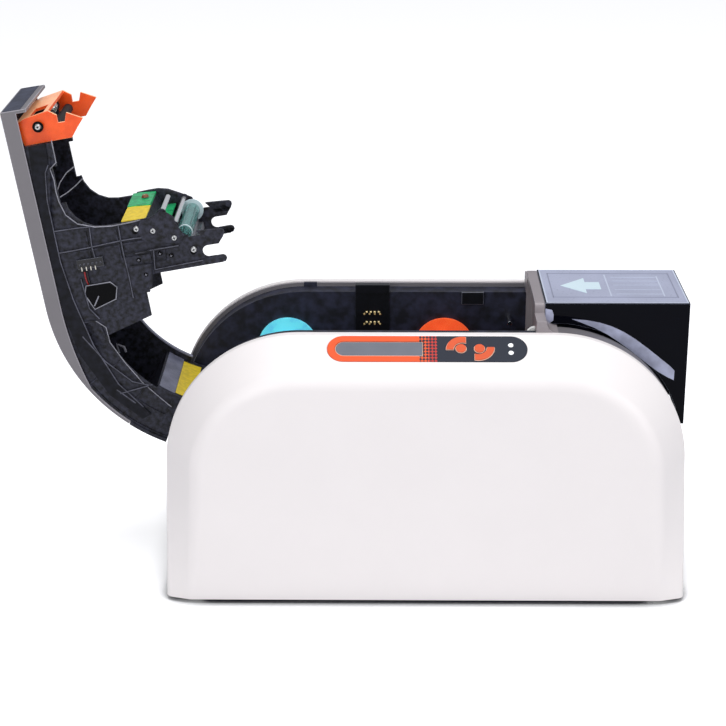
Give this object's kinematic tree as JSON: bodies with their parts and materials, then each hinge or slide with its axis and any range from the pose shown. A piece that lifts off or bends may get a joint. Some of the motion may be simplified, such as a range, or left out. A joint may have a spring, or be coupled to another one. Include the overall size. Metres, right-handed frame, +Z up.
{
  "type": "id card printer",
  "caption": "Desktop card printer with rounded white side panels, a hinged top cover that carries the print head, a smoked card hopper lid, a ribbon bay and a key panel.",
  "frame": {"origin": "on the surface that the printer stands on, at the bottom of the centre foot under the middle of the housing", "axes": "+X from the cover hinge to the card hopper, -Y towards the control panel, +Z up; the cover is open at rest"},
  "size_m": [0.488, 0.204, 0.3506],
  "materials": {
    "white_plastic": "satin",
    "grey_plastic": "satin",
    "dark_grey_plastic": "satin",
    "frame_grey_plastic": "satin",
    "black_plastic": "satin",
    "smoked_plastic": "gloss",
    "bright_steel": "polished",
    "steel_plate": "brushed",
    "motor_black": "satin",
    "rubber": "matte",
    "teal_plastic": "gloss",
    "orange_plastic": "satin",
    "blue_plastic": "satin",
    "bronze": "satin",
    "circuit_board": "satin",
    "aluminium": "satin",
    "display_plastic": "gloss",
    "light_plastic": "gloss",
    "yellow_label": "satin",
    "slate_plastic": "satin"
  },
  "bodies": {
    "base": {"front_side_panel": "white_plastic", "rear_side_panel": "white_plastic", "base_plate": "steel_plate", "rubber_feet": "rubber", "front_chassis_wall": "black_plastic", "rear_chassis_wall": "black_plastic", "rim_strips": "grey_plastic", "hinge_end_cover": "dark_grey_plastic", "hopper_end_cover": "dark_grey_plastic", "hopper_frame": "frame_grey_plastic", "hopper_tray": "black_plastic", "card_deck": "black_plastic", "control_bezel": "slate_plastic", "display_window": "display_plastic", "status_lights": "light_plastic", "contact_board": "black_plastic", "contact_pins": "bronze", "sensor_pad": "black_plastic", "catch_pins": "bright_steel", "shaft_bushes": "bronze", "drive_plate": "steel_plate", "drive_motor": "motor_black", "ribbon_motors": "bright_steel", "drive_belt": "rubber", "power_inlet": "black_plastic", "usb_socket": "bright_steel", "circuit_boards": "circuit_board", "hinge_pins": "bright_steel", "case_screws": "bright_steel"},
    "cover": {"cover_shell": "grey_plastic", "cover_frame": "black_plastic", "head_carrier": "black_plastic", "print_head": "aluminium", "head_board": "circuit_board", "guide_shafts": "bright_steel", "cover_connector": "black_plastic", "cover_screws": "bright_steel", "cover_labels": "yellow_label", "latch_spring": "bright_steel"},
    "latch": {"cover_latch": "orange_plastic", "latch_roller": "rubber"},
    "ribbon_guide": {"ribbon_roller": "teal_plastic"},
    "lid": {"hopper_lid": "smoked_plastic"},
    "weight": {"card_weight": "black_plastic"},
    "platen": {"platen_roller": "rubber", "platen_shaft": "bright_steel"},
    "feed": {"feed_roller": "rubber"},
    "pick": {"pick_roller": "rubber"},
    "exit": {"exit_roller": "rubber"},
    "motor_pulley": {"drive_pulley": "aluminium"},
    "supply": {"supply_hub": "blue_plastic"},
    "takeup": {"takeup_hub": "orange_plastic"},
    "supply_drive": {"supply_pinion": "bronze"},
    "takeup_drive": {"takeup_pinion": "bronze"},
    "idler": {"idler_wheel": "white_plastic"},
    "menu_key": {"menu_button": "orange_plastic"},
    "enter_key": {"enter_button": "orange_plastic"},
    "cancel_key": {"cancel_button": "orange_plastic"},
    "scroll_key": {"scroll_button": "orange_plastic"},
    "rocker": {"power_switch": "black_plastic"}
  },
  "joints": [
    {"name": "cover_hinge", "type": "hinge", "parent": "base", "child": "cover", "pos_m": [-0.1687, 0, 0.1201], "axis": [0, 1, 0], "range_deg": [0, 99.5]},
    {"name": "latch_pivot", "type": "hinge", "parent": "cover", "child": "latch", "pos_m": [-0.27251, 0, 0.33694], "axis": [0, 1, 0], "range_deg": [0, 25], "stiffness_Nm_per_rad": 0.05, "springref_deg": -20.05},
    {"name": "ribbon_guide_spin", "type": "hinge", "parent": "cover", "child": "ribbon_guide", "pos_m": [-0.17289, 0, 0.25901], "axis": [0, 1, 0], "continuous": true},
    {"name": "lid_hinge", "type": "hinge", "parent": "base", "child": "lid", "pos_m": [0.1835, 0, 0.117], "axis": [0, 1, 0], "range_deg": [0, 85]},
    {"name": "weight_slide", "type": "slide", "parent": "base", "child": "weight", "axis": [0, 0, 1], "range_m": [0, 0.08]},
    {"name": "platen_spin", "type": "hinge", "parent": "base", "child": "platen", "pos_m": [-0.0439, 0, 0.0865], "axis": [0, 1, 0], "continuous": true},
    {"name": "feed_spin", "type": "hinge", "parent": "base", "child": "feed", "pos_m": [0.0281, 0, 0.0865], "axis": [0, 1, 0], "continuous": true},
    {"name": "pick_spin", "type": "hinge", "parent": "base", "child": "pick", "pos_m": [0.123, 0, 0.0865], "axis": [0, 1, 0], "continuous": true},
    {"name": "exit_spin", "type": "hinge", "parent": "base", "child": "exit", "pos_m": [-0.1467, 0, 0.0865], "axis": [0, 1, 0], "continuous": true},
    {"name": "motor_spin", "type": "hinge", "parent": "base", "child": "motor_pulley", "pos_m": [-0.0099, 0, 0.0405], "axis": [0, 1, 0], "continuous": true},
    {"name": "supply_spin", "type": "hinge", "parent": "base", "child": "supply", "pos_m": [-0.1039, 0, 0.1465], "axis": [0, 1, 0], "continuous": true},
    {"name": "takeup_spin", "type": "hinge", "parent": "base", "child": "takeup", "pos_m": [0.0161, 0, 0.1465], "axis": [0, 1, 0], "continuous": true},
    {"name": "supply_drive_spin", "type": "hinge", "parent": "base", "child": "supply_drive", "pos_m": [-0.1039, 0, 0.1256], "axis": [0, 1, 0], "continuous": true},
    {"name": "takeup_drive_spin", "type": "hinge", "parent": "base", "child": "takeup_drive", "pos_m": [0.0161, 0, 0.1256], "axis": [0, 1, 0], "continuous": true},
    {"name": "idler_spin", "type": "hinge", "parent": "base", "child": "idler", "pos_m": [0.0783, 0, 0.1864], "axis": [0, 1, 0], "continuous": true},
    {"name": "menu_press", "type": "slide", "parent": "base", "child": "menu_key", "axis": [0, 0.5214, -0.8533], "range_m": [0, 0.001], "stiffness_N_per_m": 500, "springref_m": -0.001},
    {"name": "enter_press", "type": "slide", "parent": "base", "child": "enter_key", "axis": [0, 0.5214, -0.8533], "range_m": [0, 0.001], "stiffness_N_per_m": 500, "springref_m": -0.001},
    {"name": "cancel_press", "type": "slide", "parent": "base", "child": "cancel_key", "axis": [0, 0.5214, -0.8533], "range_m": [0, 0.001], "stiffness_N_per_m": 500, "springref_m": -0.001},
    {"name": "scroll_press", "type": "slide", "parent": "base", "child": "scroll_key", "axis": [0, 0.5214, -0.8533], "range_m": [0, 0.001], "stiffness_N_per_m": 500, "springref_m": -0.001},
    {"name": "rocker_tilt", "type": "hinge", "parent": "base", "child": "rocker", "pos_m": [0.1842, -0.0025, 0.03], "axis": [0, 0, 1], "range_deg": [0, 12]}
  ],
  "couplings": [
    {"joint": "feed_spin", "follows": "platen_spin", "ratio": 1},
    {"joint": "pick_spin", "follows": "platen_spin", "ratio": 1},
    {"joint": "exit_spin", "follows": "platen_spin", "ratio": 1},
    {"joint": "motor_spin", "follows": "platen_spin", "ratio": 1},
    {"joint": "supply_drive_spin", "follows": "supply_spin", "ratio": -3.3333},
    {"joint": "takeup_drive_spin", "follows": "takeup_spin", "ratio": -3.3333}
  ]
}
